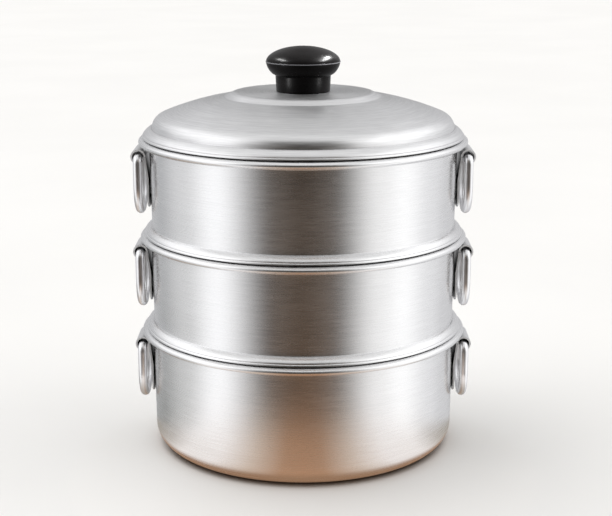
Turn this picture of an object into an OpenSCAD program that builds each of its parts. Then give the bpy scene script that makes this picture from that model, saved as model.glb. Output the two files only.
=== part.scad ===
// Idli steamer: a pot for water, two perforated steaming pans that hold idli
// plates, and a domed lid. Each tier hangs two wire rings from folded straps.
// The origin is the centre of the base, Z points up, and the rings are on X.

/* [Tiers] */
// Outside diameter over the rolled rims
rim_d = 240; // [210:2:300]
// Height of the bottom pot from its base to the top of its rim
pot_h = 90; // [80:1:160]
// Height from one rim to the next on the two steaming pans
tier_h = 70.5; // [66:0.5:120]
// Thickness of the sheet in the pot and the pans
sheet_t = 1.5; // [1:0.1:2.2]
// Distance that a rolled rim stands out from the wall under it
rim_out = 7.8; // [6.8:0.1:9.5]
// Height of a rolled rim
rim_h = 6.5; // [5:0.1:8]
// Length of the oval nose in which a rolled rim ends
rim_nose = 7; // [4:0.1:7.8]
// How much narrower a wall is at its foot than at its rim
wall_draft = 0.8; // [0.2:0.1:1.4]
// Outer corner radius between the bottom pot's base and wall
pot_corner_r = 15; // [8:1:30]

/* [Foot flanges] */
// Depth that each upper piece reaches into the rim below it
skirt_h = 9; // [6:0.5:12]
// Side clearance between that skirt and the wall around it
skirt_gap = 0.6; // [0.5:0.1:1.2]
// Running gap between a rim and the flange that rests on it
seat_gap = 0.3; // [0.2:0.05:0.5]
// Height of the flange's sloping ledge above the rim below
ledge_h = 6.5; // [5.8:0.1:8]
// Width of the ledge
ledge_w = 6; // [4:0.1:7]
// How far the ledge is drawn from a round towards a cone
ledge_cone = 1.5; // [1:0.05:1.8]
// Distance that the flange's lip stays inside the rim's outer edge
lip_in = 2.8; // [2.2:0.1:3.6]
// Height of the lip
lip_h = 1.8; // [1:0.1:2.2]
// Length of the oval round over the lip's edge
lip_nose = 2; // [1:0.1:2.6]
// Distance that the ledge stays behind the lip
lip_step = 0.9; // [0.4:0.1:1.4]
// Outer corner radius at a steaming pan's floor
pan_corner_r = 5; // [3:0.5:6]

/* [Steam holes] */
// Diameter of a hole in a steaming pan's floor
floor_hole_d = 5; // [3:0.5:6]
// Distance between the rings of holes
floor_hole_pitch = 18; // [14:1:18]
// Number of rings of holes around the middle one
floor_hole_rings = 5; // [2:1:5]

/* [Lid] */
// Thickness of the lid's sheet
lid_t = 1.2; // [1:0.1:1.8]
// Height above the rim at which the lid's shoulder starts to turn in
shoulder_z = 6; // [5:0.5:12]
// Radius of the shoulder
shoulder_r = 10; // [6:0.5:16]
// Radius of the dome's long curve
dome_r = 200; // [170:5:320]
// Height of the dome above the rim where the raised disc starts
dome_h = 28.3; // [26:0.1:34]
// Radius of the raised disc at its foot
disc_r = 56.8; // [46:0.1:62]
// Width of the slope around the raised disc
disc_slope_w = 6.4; // [5:0.1:12]
// Height of the raised disc above the dome
disc_h = 3.3; // [2.5:0.1:6]

/* [Knob] */
// Largest diameter of the knob
knob_d = 53.8; // [40:0.2:60]
// Diameter of the knob's neck at the lid
neck_d = 39; // [30:0.5:44]
// How much wider the neck is at its top
neck_flare = 1.2; // [0.2:0.2:3]
// Height of the neck
neck_h = 12; // [8:0.2:16]
// Height from the neck to the knob's widest line
knob_under_h = 9.4; // [7:0.2:13]
// How far the knob's underside is drawn from a round towards a cone
knob_under_cone = 1.25; // [1:0.05:1.6]
// Height of the crown above the widest line
crown_h = 11.2; // [8:0.2:16]
// How far the moulding line stands out at the widest line
moulding_line = 0.25; // [0.15:0.05:0.4]
// Diameter of the knob's screw
screw_d = 5; // [4:0.5:6]
// Clearance around the screw in the lid and the washer
screw_gap = 0.3; // [0.2:0.05:0.5]
// Height that the screw reaches into the knob
screw_reach = 10; // [8:0.5:13]
// Diameter of the screw's head
screw_head_d = 9.6; // [8:0.2:11]
// Height of the screw's head
screw_head_h = 3; // [2.4:0.1:4]
// Width of the slot in the screw's head
slot_w = 1.2; // [0.8:0.1:1.6]
// Depth of that slot
slot_depth = 1.4; // [0.8:0.1:1.8]
// Diameter of the washer under the lid
washer_d = 18; // [14:0.5:26]
// Thickness of the washer
washer_t = 1.2; // [0.8:0.1:2]
// Diameter of the threaded insert in the knob
insert_d = 9; // [8:0.5:12]
// Height of the threaded insert
insert_h = 13; // [12:0.5:15]
// Fitting gap around the insert and around the screw's thread
thread_gap = 0.05; // [0.02:0.01:0.1]

/* [Ring handles] */
// Diameter of the ring's wire
wire_d = 6.4; // [5:0.1:7.4]
// Width of the ring between the middles of its limbs
ring_w = 40; // [38:0.5:60]
// Height of the ring between the middles of its bar and its bow
ring_h = 40; // [34:0.5:44]
// Bend radius at the ring's two upper corners
ring_bend_r = 4.5; // [4:0.1:5]
// Distance of the ring's bar out from the wall under the rim
bar_out = 7.4; // [7:0.1:9]
// Distance of the ring's bar below the top of the rim
bar_drop = 15; // [14:0.5:18]

/* [Straps] */
// Width of a strap
strap_w = 30; // [22:0.5:31]
// Thickness of a strap
strap_t = 1.25; // [1:0.05:1.5]
// Distance of a strap's lower end below the top of the rim
strap_drop = 52; // [50:0.5:56]
// Inner radius of the curl that holds the ring's bar
curl_r = 4.2; // [4.1:0.1:4.6]
// Running gap under the bar in the curl
bar_gap = 0.3; // [0.2:0.05:0.5]
// Angle below level at which the curl's end stops under the bar
curl_end = 110; // [90:1:120]
// Height of the slope between the flat of the strap and its curl
strap_slope_h = 16; // [8:0.5:16]
// Corner radius at a strap's lower end
strap_corner_r = 6; // [2:0.5:10]

/* [Rivets] */
// Diameter of a rivet's shank
rivet_d = 4; // [3:0.2:5]
// Clearance around a rivet's shank
rivet_gap = 0.05; // [0.02:0.01:0.1]
// Diameter of a rivet's head
rivet_head_d = 8; // [6.5:0.1:9]
// Height of a rivet's head
rivet_head_h = 1.6; // [1:0.1:2]
// Distance of the upper rivet below the top of the rim
rivet_drop = 34.5; // [33.5:0.5:36]
// Distance between the two rivets of a strap
rivet_pitch = 11.5; // [9.5:0.5:12]

/* [Idli plates] */
// Thickness of an idli plate
plate_t = 1.2; // [0.8:0.1:1.6]
// Clearance between an idli plate's edge and the pan around it
plate_gap = 3; // [2.5:0.1:6]
// Radius of the rolled edge of an idli plate
plate_edge_r = 1.6; // [1.2:0.1:2.2]
// Diameter of an idli cup at its brim
cup_d = 60; // [44:1:62]
// Depth of an idli cup
cup_depth = 14; // [10:0.5:18]
// Distance that the cup's round bottom is flattened
cup_flat = 1.5; // [0.5:0.1:2.5]
// Distance of the outer cups' middles from the plate's middle
cup_pitch = 68; // [65:0.5:70]
// Diameter of the small holes in the idli plate and its cups
cup_hole_d = 3; // [2:0.5:4]
// Distance of a cup's ring of holes from the cup's middle
cup_hole_pitch = 7; // [5:0.5:8]
// Distance of the inner row of holes between cups from the plate's middle
gap_hole_in = 39.5; // [38:0.5:41]
// Distance of the outer row of holes between cups from the plate's middle
gap_hole_out = 92; // [86:0.5:96]

/* [Hidden] */
$fn = 96;
rim_r = rim_d / 2;
wall_r = rim_r - rim_out;
foot_r = wall_r - wall_draft;
skirt_r = wall_r - sheet_t - skirt_gap;
lip_r = rim_r - lip_in;
ledge_r = lip_r - lip_step;
ledge_run = min(ledge_w, ledge_r - skirt_r);
floor_z = sheet_t - skirt_h;

middle_z = pot_h;
top_z = middle_z + tier_h;
lid_z = top_z + tier_h;

shoulder = [skirt_r - shoulder_r, shoulder_z];
disc_foot = [disc_r, dome_h];
disc_top_r = disc_r - disc_slope_w;
disc_z = dome_h + disc_h;
// The dome's curve is tangent to the shoulder and passes through the disc's foot
to_disc = disc_foot - shoulder;
centre_gap = dome_r - shoulder_r;
along = (pow(dome_r, 2) - pow(centre_gap, 2) - pow(norm(to_disc), 2)) / (2 * centre_gap);
shoulder_turn = atan2(to_disc[1], to_disc[0]) - acos(along / norm(to_disc));
dome_centre = shoulder - centre_gap * [cos(shoulder_turn), sin(shoulder_turn)];
dome_turn = atan2(disc_foot[1] - dome_centre[1], disc_foot[0] - dome_centre[0]);

wire_r = wire_d / 2;
bar_x = wall_r + bar_out;
curl_outer_r = curl_r + strap_t;
curl_lift = curl_r - wire_r - bar_gap;
strap_x = wall_r;
rivet_r = rivet_d / 2;
rivet_head_r = rivet_head_d / 2;
rivet_drops = [rivet_drop, rivet_drop + rivet_pitch];
wall_in_r = foot_r - sheet_t;
// A head's flat face clears the curve of the wall that it closes on
head_in_x = sqrt(pow(wall_in_r, 2) - pow(rivet_head_r, 2)) - rivet_gap;
head_out_x = strap_x + strap_t;

plate_r = skirt_r - sheet_t - plate_gap;
plate_top = floor_z + seat_gap + plate_t + cup_depth;
ball_depth = cup_depth + cup_flat;
ball_r = (pow(cup_d / 2, 2) + pow(ball_depth, 2)) / (2 * ball_depth);
ball_z = ball_r - ball_depth;
cup_turns = [for (i = [0:5]) i * 60];

insert_r = insert_d / 2;
pocket_h = insert_h + thread_gap;
over = 1;

// Points along an arc, from one turn to another
function arc(centre, r, from, to, steps = 12) =
    [for (i = [0:steps]) let (a = from + (to - from) * i / steps)
        centre + r * [cos(a), sin(a)]];

// Points round an oval nose that ends at a radius, from a turn up to its top
function nose(tip_r, length, mid_z, half_h, from = -90) =
    [for (a = [from:10:90]) [tip_r - length + length * cos(a), mid_z + half_h * sin(a)]];

// Colours of the finishes
module satin() { color([0.78, 0.79, 0.80]) children(); }
module polished() { color([0.90, 0.91, 0.92]) children(); }
module black_plastic() { color([0.05, 0.05, 0.05]) children(); }
module brass() { color([0.80, 0.65, 0.30]) children(); }

// Half section of a drawn vessel, solid to the axis, with a round lower corner
module vessel_half(low_r, high_r, low_z, high_z, corner_r) {
    bend = [low_r - corner_r, low_z + corner_r];
    polygon(concat([[0, high_z], [0, low_z]],
                   arc(bend, corner_r, -90, 0),
                   [[high_r, high_z]]));
}

// Half section of a rolled rim whose top is at the given height
module rim_half(z) {
    root = wall_r - sheet_t / 2;
    polygon(concat([[root, z - rim_h]],
                   nose(rim_r, min(rim_nose, rim_out), z - rim_h / 2, rim_h / 2),
                   [[root, z]]));
}

// Half section of the foot flange that rests on the rim below
module flange_half() {
    root = skirt_r - sheet_t / 2;
    lip_top = seat_gap + lip_h;
    ledge_in = ledge_r - ledge_run;
    polygon(concat([[root, seat_gap]],
                   nose(lip_r, lip_nose, seat_gap, lip_h, 0),
                   [[root, lip_top]]));
    polygon(concat([[root, seat_gap + lip_h / 2], [ledge_r, seat_gap + lip_h / 2]],
                   [for (a = [0:10:90]) [ledge_in + ledge_run * pow(cos(a), ledge_cone),
                                         lip_top + (ledge_h - lip_top) * pow(sin(a), ledge_cone)]],
                   [[root, ledge_h]]));
}

// Holes for the rivets of both straps, through the wall below a rim
module rivet_holes(rim_z) {
    for (side = [0, 180], drop = rivet_drops)
        rotate([0, 0, side])
            translate([wall_in_r - rivet_head_r, 0, rim_z - drop])
                rotate([0, 90, 0])
                    cylinder(h = wall_r + rivet_head_r - wall_in_r + rim_out, r = rivet_r + rivet_gap);
}

module bottom_pot() satin() difference() {
    rotate_extrude() {
        difference() {
            vessel_half(foot_r, wall_r, 0, pot_h, pot_corner_r);
            vessel_half(foot_r - sheet_t, wall_r - sheet_t, sheet_t, pot_h + over, pot_corner_r - sheet_t);
        }
        rim_half(pot_h);
    }
    rivet_holes(pot_h);
}

// Half section of a steaming pan, measured from the rim below it
module pan_half() {
    difference() {
        union() {
            vessel_half(skirt_r, skirt_r, -skirt_h, ledge_h, pan_corner_r);
            polygon([[0, seat_gap], [foot_r, seat_gap], [wall_r, tier_h], [0, tier_h]]);
            flange_half();
        }
        vessel_half(skirt_r - sheet_t, skirt_r - sheet_t, floor_z, seat_gap + over, pan_corner_r - sheet_t);
        polygon([[0, seat_gap], [skirt_r - sheet_t, seat_gap], [foot_r - sheet_t, ledge_h],
                 [wall_r - sheet_t, tier_h + over], [0, tier_h + over]]);
    }
    rim_half(tier_h);
}

// Rings of steam holes through a pan's floor
module floor_holes() {
    hole_r = floor_hole_d / 2;
    translate([0, 0, -skirt_h - over]) {
        cylinder(h = sheet_t + 2 * over, r = hole_r);
        for (ring = [1:floor_hole_rings], i = [0:6 * ring - 1])
            rotate([0, 0, i * 60 / ring])
                translate([ring * floor_hole_pitch, 0, 0])
                    cylinder(h = sheet_t + 2 * over, r = hole_r);
    }
}

module steaming_pan() satin() difference() {
    rotate_extrude() pan_half();
    floor_holes();
    rivet_holes(tier_h);
}

module middle_pan() translate([0, 0, middle_z]) steaming_pan();

module top_pan() translate([0, 0, top_z]) steaming_pan();

// Half section under the lid's dome, drawn in from the outside by a thickness
module dome_half(inset, low_z) {
    polygon(concat([[0, disc_z - inset], [0, low_z], [skirt_r - inset, low_z]],
                   arc(shoulder, shoulder_r - inset, 0, shoulder_turn),
                   arc(dome_centre, dome_r - inset, shoulder_turn, dome_turn, 24),
                   [[disc_top_r - inset / 2, disc_z - inset]]));
}

module lid() translate([0, 0, lid_z]) satin() difference() {
    rotate_extrude() difference() {
        union() {
            dome_half(0, -skirt_h);
            flange_half();
        }
        dome_half(lid_t, -skirt_h - over);
    }
    cylinder(h = disc_z + over, r = screw_d / 2 + screw_gap);
}

// Places a piece on the flat top of the lid
module on_lid() translate([0, 0, lid_z + disc_z]) children();

module lid_knob() on_lid() black_plastic() difference() {
    neck_top_r = neck_d / 2 + neck_flare / 2;
    knob_r = knob_d / 2;
    wide_z = neck_h + knob_under_h;
    rotate_extrude() polygon(concat(
        [[0, 0], [neck_d / 2, 0], [neck_top_r, neck_h]],
        [for (a = [80:-10:0]) [neck_top_r + (knob_r - neck_top_r) * pow(cos(a), knob_under_cone),
                               wide_z - knob_under_h * pow(sin(a), knob_under_cone)]],
        [[knob_r + moulding_line, wide_z + moulding_line]],
        [for (a = [2:8:90]) [knob_r * cos(a), wide_z + crown_h * sin(a)]]));
    translate([0, 0, -over])
        cylinder(h = pocket_h + over, r = insert_r + thread_gap);
}

module knob_insert() on_lid() brass() difference() {
    cylinder(h = insert_h, r = insert_r);
    translate([0, 0, -over])
        cylinder(h = screw_reach + 2 * over, r = screw_d / 2 + thread_gap);
}

module knob_washer() on_lid() polished() translate([0, 0, -lid_t - washer_t]) difference() {
    cylinder(h = washer_t, r = washer_d / 2);
    translate([0, 0, -over])
        cylinder(h = washer_t + 2 * over, r = screw_d / 2 + screw_gap);
}

module knob_screw() on_lid() polished() translate([0, 0, -lid_t - washer_t]) {
    cylinder(h = lid_t + washer_t + screw_reach, r = screw_d / 2);
    translate([0, 0, -screw_head_h]) difference() {
        cylinder(h = screw_head_h, r = screw_head_d / 2);
        translate([-screw_head_d, -slot_w / 2, -over])
            cube([2 * screw_head_d, slot_w, slot_depth + over]);
    }
}

// Places a cup's shape at the middle of the plate and at each outer cup
module at_cups() {
    children();
    for (turn = cup_turns)
        rotate([0, 0, turn])
            translate([cup_pitch, 0, 0])
                children();
}

// A flat-bottomed ball, the shape of a cup's inside or outside
module cup_ball(wall, depth) {
    intersection() {
        translate([0, 0, ball_z]) sphere(ball_r + wall);
        translate([-cup_d, -cup_d, -depth]) cube([2 * cup_d, 2 * cup_d, depth + (wall > 0 ? 0 : over)]);
    }
}

// Small holes in the bottom of one cup
module cup_holes() {
    translate([0, 0, -cup_depth - plate_t - over]) {
        cylinder(h = plate_t + 2 * over, r = cup_hole_d / 2);
        for (turn = cup_turns)
            rotate([0, 0, turn])
                translate([cup_hole_pitch, 0, 0])
                    cylinder(h = plate_t + 2 * over, r = cup_hole_d / 2);
    }
}

module idli_plate() translate([0, 0, plate_top]) satin() difference() {
    union() {
        translate([0, 0, -plate_t])
            cylinder(h = plate_t, r = plate_r - plate_edge_r);
        rotate_extrude() translate([plate_r - plate_edge_r, plate_edge_r - plate_t])
            circle(plate_edge_r);
        at_cups() cup_ball(plate_t, cup_depth + plate_t);
    }
    at_cups() {
        cup_ball(0, cup_depth);
        cup_holes();
    }
    for (turn = cup_turns, reach = [gap_hole_in, gap_hole_out])
        rotate([0, 0, turn + 30])
            translate([reach, 0, -plate_t - over])
                cylinder(h = plate_t + 2 * over, r = cup_hole_d / 2);
}

module middle_idli_plate() translate([0, 0, middle_z]) idli_plate();

module top_idli_plate() translate([0, 0, top_z]) idli_plate();

// Places a piece at one side of a tier, measured from the top of its rim
module at_side(side, rim_z) {
    rotate([0, 0, side])
        translate([0, 0, rim_z])
            children();
}

// Outline of a strap seen from the front: a flat leg, a slope and the curl
module strap_outline() {
    curl = [bar_x, curl_lift - bar_drop];
    leg_top = curl[1] - strap_slope_h;
    reach = 2 * curl_outer_r;
    polygon([[strap_x, -strap_drop], [strap_x + strap_t, -strap_drop], [strap_x + strap_t, leg_top],
             [curl[0] - curl_r, curl[1]], [curl[0] - curl_outer_r, curl[1]], [strap_x, leg_top]]);
    difference() {
        translate(curl) circle(curl_outer_r);
        translate(curl) circle(curl_r);
        polygon([curl, curl - [reach, 0], curl - [reach, reach],
                 curl + reach * [cos(-curl_end), sin(-curl_end)]]);
    }
}

// A strap's leg has round lower corners and two rivet holes
module strap() satin() difference() {
    intersection() {
        translate([0, strap_w / 2, 0])
            rotate([90, 0, 0])
                linear_extrude(strap_w) strap_outline();
        translate([strap_x - over, 0, 0])
            rotate([90, 0, 90])
                linear_extrude(bar_x + rim_out - strap_x) {
                    translate([-strap_w / 2, strap_corner_r - strap_drop])
                        square([strap_w, strap_drop]);
                    translate([strap_corner_r - strap_w / 2, -strap_drop])
                        square([strap_w - 2 * strap_corner_r, strap_drop]);
                    for (y = [-1, 1])
                        translate([y * (strap_w / 2 - strap_corner_r), strap_corner_r - strap_drop])
                            circle(strap_corner_r);
                }
    }
    rivet_holes(0);
}

module bottom_left_strap() at_side(180, pot_h) strap();
module bottom_right_strap() at_side(0, pot_h) strap();
module middle_left_strap() at_side(180, top_z) strap();
module middle_right_strap() at_side(0, top_z) strap();
module top_left_strap() at_side(180, lid_z) strap();
module top_right_strap() at_side(0, lid_z) strap();

// Ring of round wire: a straight bar, two tight bends, two limbs and a bow
module wire_ring() polished() translate([bar_x, 0, -bar_drop]) rotate([90, 0, 90]) {
    limb_y = ring_w / 2;
    bend_y = limb_y - ring_bend_r;
    bow_z = limb_y - ring_h;
    translate([-bend_y, 0, 0]) rotate([0, 90, 0]) cylinder(h = 2 * bend_y, r = wire_r);
    for (y = [-1, 1])
        translate([y * limb_y, bow_z, 0])
            rotate([-90, 0, 0])
                cylinder(h = -bow_z - ring_bend_r, r = wire_r);
    translate([bend_y, -ring_bend_r, 0])
        rotate_extrude(angle = 90) translate([ring_bend_r, 0]) circle(wire_r);
    translate([-bend_y, -ring_bend_r, 0]) rotate([0, 0, 90])
        rotate_extrude(angle = 90) translate([ring_bend_r, 0]) circle(wire_r);
    translate([0, bow_z, 0]) rotate([0, 0, 180])
        rotate_extrude(angle = 180) translate([limb_y, 0]) circle(wire_r);
}

module bottom_left_ring() at_side(180, pot_h) wire_ring();
module bottom_right_ring() at_side(0, pot_h) wire_ring();
module middle_left_ring() at_side(180, top_z) wire_ring();
module middle_right_ring() at_side(0, top_z) wire_ring();
module top_left_ring() at_side(180, lid_z) wire_ring();
module top_right_ring() at_side(0, lid_z) wire_ring();

// A rivet head, domed, with its flat face at the origin
module rivet_head() {
    dome_ball_r = (pow(rivet_head_r, 2) + pow(rivet_head_h, 2)) / (2 * rivet_head_h);
    intersection() {
        translate([0, 0, rivet_head_h - dome_ball_r]) sphere(dome_ball_r);
        cylinder(h = rivet_head_h + over, r = rivet_head_r);
    }
}

// The four rivets of a tier, two at each side
module tier_rivets(rim_z) polished() {
    for (side = [0, 180], drop = rivet_drops)
        at_side(side, rim_z)
            translate([head_in_x, 0, -drop])
                rotate([0, 90, 0]) {
                    cylinder(h = head_out_x - head_in_x, r = rivet_r);
                    rotate([180, 0, 0]) rivet_head();
                    translate([0, 0, head_out_x - head_in_x]) rivet_head();
                }
}

module bottom_rivets() tier_rivets(pot_h);
module middle_rivets() tier_rivets(top_z);
module top_rivets() tier_rivets(lid_z);

bottom_pot();
middle_pan();
top_pan();
lid();
lid_knob();
knob_insert();
knob_screw();
knob_washer();
middle_idli_plate();
top_idli_plate();
bottom_left_strap();
bottom_right_strap();
middle_left_strap();
middle_right_strap();
top_left_strap();
top_right_strap();
bottom_left_ring();
bottom_right_ring();
middle_left_ring();
middle_right_ring();
top_left_ring();
top_right_ring();
bottom_rivets();
middle_rivets();
top_rivets();
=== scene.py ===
"""Looks of a three-tier idli steamer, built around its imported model.

The drawn pieces are spun from half sections, the rings and straps are swept,
and every finish is a procedural material. Lengths are in metres and every
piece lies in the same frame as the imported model: Z up, rings on the X axis.
"""

import logging
import math
from dataclasses import dataclass
from enum import Enum
from typing import Iterator, Optional, Sequence

import bmesh
import bpy
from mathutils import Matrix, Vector


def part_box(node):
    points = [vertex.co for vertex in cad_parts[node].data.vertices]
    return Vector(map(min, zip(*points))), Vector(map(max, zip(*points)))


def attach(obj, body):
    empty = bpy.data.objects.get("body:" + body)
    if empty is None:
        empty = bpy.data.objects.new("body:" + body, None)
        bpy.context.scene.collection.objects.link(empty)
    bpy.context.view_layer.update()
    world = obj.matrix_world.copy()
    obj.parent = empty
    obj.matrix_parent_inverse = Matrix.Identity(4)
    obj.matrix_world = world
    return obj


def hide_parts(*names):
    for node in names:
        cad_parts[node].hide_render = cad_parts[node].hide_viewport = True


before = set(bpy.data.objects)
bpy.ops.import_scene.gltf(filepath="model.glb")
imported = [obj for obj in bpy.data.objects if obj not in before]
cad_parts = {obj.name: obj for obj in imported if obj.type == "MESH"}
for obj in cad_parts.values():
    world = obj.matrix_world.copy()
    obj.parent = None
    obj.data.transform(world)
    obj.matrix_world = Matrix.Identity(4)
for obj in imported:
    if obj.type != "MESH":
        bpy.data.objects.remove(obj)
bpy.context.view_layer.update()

MM = 0.001
ROUND_STEPS = 256
BUMP_DEPTH = 0.05 * MM
MATT_NOISE = (0.35, 0.7)
DARK_NOISE = (0.3, 0.7)

log = logging.getLogger("idli_steamer")

Point = tuple[float, float]
Color = tuple[float, float, float]
Material = bpy.types.Material
Mesh = bmesh.types.BMesh
Object = bpy.types.Object
Socket = bpy.types.NodeSocket
Vertex = bmesh.types.BMVert


class Grain(Enum):
    """Direction of the fine lines that a finish has."""

    ROUND_AXIS = "round_axis"
    ALONG_SHEET = "along_sheet"
    NONE = "none"


class Tier(Enum):
    """The three tiers, by the names that their nodes and bodies carry."""

    BOTTOM = ("bottom", "pot", "bottom_pot")
    MIDDLE = ("middle", "middle_tier", "middle_pan")
    TOP = ("top", "top_tier", "top_pan")

    def __init__(self, prefix: str, body: str, vessel: str) -> None:
        """Names the tier's small pieces, the body of its fixed pieces and its pot or pan node."""
        self.prefix, self.body, self.vessel = prefix, body, vessel


class Side(Enum):
    """The two sides that carry handles."""

    LEFT = ("left", -1)
    RIGHT = ("right", 1)

    def __init__(self, word: str, sign: int) -> None:
        """Keeps the side's word in node names and its sign of X."""
        self.word, self.sign = word, sign


@dataclass(frozen=True)
class Corner:
    """A corner of a half section, with the radius that rounds it."""

    r: float
    z: float
    bend: float = 0.0


def arc_points(centre: Point, radius: float, start: float, end: float, step: float = 0.12) -> list[Point]:
    """Lays points along an arc.

    Args:
        centre: Centre of the arc, as radius and height.
        radius: Radius of the arc.
        start: Angle of the first point, in radians.
        end: Angle of the last point, in radians.
        step: Largest angle between two points.

    Returns:
        The points, first and last included.
    """
    count = max(2, math.ceil(abs(end - start) / step))
    turns = [start + (end - start) * i / count for i in range(count + 1)]
    return [(centre[0] + radius * math.cos(t), centre[1] + radius * math.sin(t)) for t in turns]


def rounded_path(corners: Sequence[Corner]) -> list[Point]:
    """Turns corners into a path whose bends are arcs.

    Args:
        corners: The path's corners in order; the first and last stay sharp.

    Returns:
        The points of the path.
    """
    path: list[Point] = [(corners[0].r, corners[0].z)]
    for before, here, after in zip(corners, corners[1:], corners[2:]):
        spot = Vector((here.r, here.z))
        back = Vector((before.r, before.z)) - spot
        ahead = Vector((after.r, after.z)) - spot
        angle = back.angle(ahead)
        if here.bend <= 0 or angle > math.radians(179):
            path.append((here.r, here.z))
            continue
        reach = min(here.bend / math.tan(angle / 2), 0.98 * back.length, 0.98 * ahead.length)
        bend = reach * math.tan(angle / 2)
        centre = spot + (back.normalized() + ahead.normalized()).normalized() * (bend / math.sin(angle / 2))
        first = spot + back.normalized() * reach - centre
        last = spot + ahead.normalized() * reach - centre
        start = math.atan2(first.y, first.x)
        turn = math.remainder(math.atan2(last.y, last.x) - start, math.tau)
        path += arc_points((centre.x, centre.y), bend, start, start + turn)
    path.append((corners[-1].r, corners[-1].z))
    return path


def nose(tip: float, length: float, middle: float, half: float, start: float = -90.0,
         end: float = 90.0) -> list[Corner]:
    """Lists the corners of an oval nose, from below upward.

    Args:
        tip: Radius at which the nose ends.
        length: Length of the nose.
        middle: Height of its middle.
        half: Half its height.
        start: Angle of the first corner, in degrees.
        end: Angle of the last corner, in degrees.

    Returns:
        The corners.
    """
    count = math.ceil((end - start) / 6.0)
    turns = [math.radians(start + (end - start) * i / count) for i in range(count + 1)]
    return [Corner(tip - length + length * math.cos(t), middle + half * math.sin(t)) for t in turns]


def spaced(path: Sequence[Point], longest: float) -> list[Point]:
    """Adds points so that no stretch of a path is longer than a limit.

    Args:
        path: The path's points.
        longest: The longest stretch that may stay.

    Returns:
        The path with the added points.
    """
    dense: list[Point] = [path[0]]
    for (r0, z0), (r1, z1) in zip(path, path[1:]):
        pieces = max(1, math.ceil(math.hypot(r1 - r0, z1 - z0) / longest))
        dense += [(r0 + (r1 - r0) * i / pieces, z0 + (z1 - z0) * i / pieces) for i in range(1, pieces + 1)]
    return dense


def new_object(name: str, mesh: Mesh, sharp: float = 40.0) -> Object:
    """Makes an object of a finished mesh and shades it smooth.

    Args:
        name: Name of the piece.
        mesh: The mesh, which is freed.
        sharp: Edges that bend more than this many degrees stay sharp.

    Returns:
        The new object, linked to the scene.
    """
    bmesh.ops.recalc_face_normals(mesh, faces=mesh.faces)
    data = bpy.data.meshes.new(name)
    mesh.to_mesh(data)
    mesh.free()
    data.shade_smooth()
    data.set_sharp_from_angle(angle=math.radians(sharp))
    made = bpy.data.objects.new(name, data)
    bpy.context.scene.collection.objects.link(made)
    return made


def uv_map(mesh: Mesh) -> bmesh.types.BMLayerItem:
    """Returns the mesh's UV layer, which is made at the first call."""
    return mesh.loops.layers.uv.get("UVMap") or mesh.loops.layers.uv.new("UVMap")


def add_face(mesh: Mesh, corners: Sequence[Vertex], flat: Sequence[Point]) -> None:
    """Adds a face and lays it into the UV map.

    Args:
        mesh: The mesh.
        corners: The face's corners, in order.
        flat: Their places in the UV map.
    """
    uv = uv_map(mesh)
    for loop, spot in zip(mesh.faces.new(corners).loops, flat):
        loop[uv].uv = spot


def spin(path: Sequence[Point]) -> Mesh:
    """Spins a half section round the Z axis and lays its length into the UV map.

    Args:
        path: Points as radius and height. A radius of 0 becomes one pole.

    Returns:
        The mesh. U is the way round and V is the way along the section.
    """
    mesh = bmesh.new()
    rings: list[list[Vertex]] = []
    lengths: list[float] = []
    run = 0.0
    for i, (r, z) in enumerate(path):
        if i:
            run += math.hypot(r - path[i - 1][0], z - path[i - 1][1])
        lengths.append(run)
        if r < 1e-7:
            rings.append([mesh.verts.new((0.0, 0.0, z))])
            continue
        turns = [math.tau * k / ROUND_STEPS for k in range(ROUND_STEPS)]
        rings.append([mesh.verts.new((r * math.cos(t), r * math.sin(t), z)) for t in turns])
    for i, (low, high) in enumerate(zip(rings, rings[1:])):
        if len(low) == 1 and len(high) == 1:
            continue
        for k in range(ROUND_STEPS):
            corners = [(low, k, i), (high, k, i + 1), (high, k + 1, i + 1), (low, k + 1, i)]
            if len(low) == 1:
                corners.pop()
            elif len(high) == 1:
                corners.pop(2)
            add_face(mesh, [ring[step % len(ring)] for ring, step, _ in corners],
                     [(step / ROUND_STEPS, lengths[row]) for _, step, row in corners])
    return mesh


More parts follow.
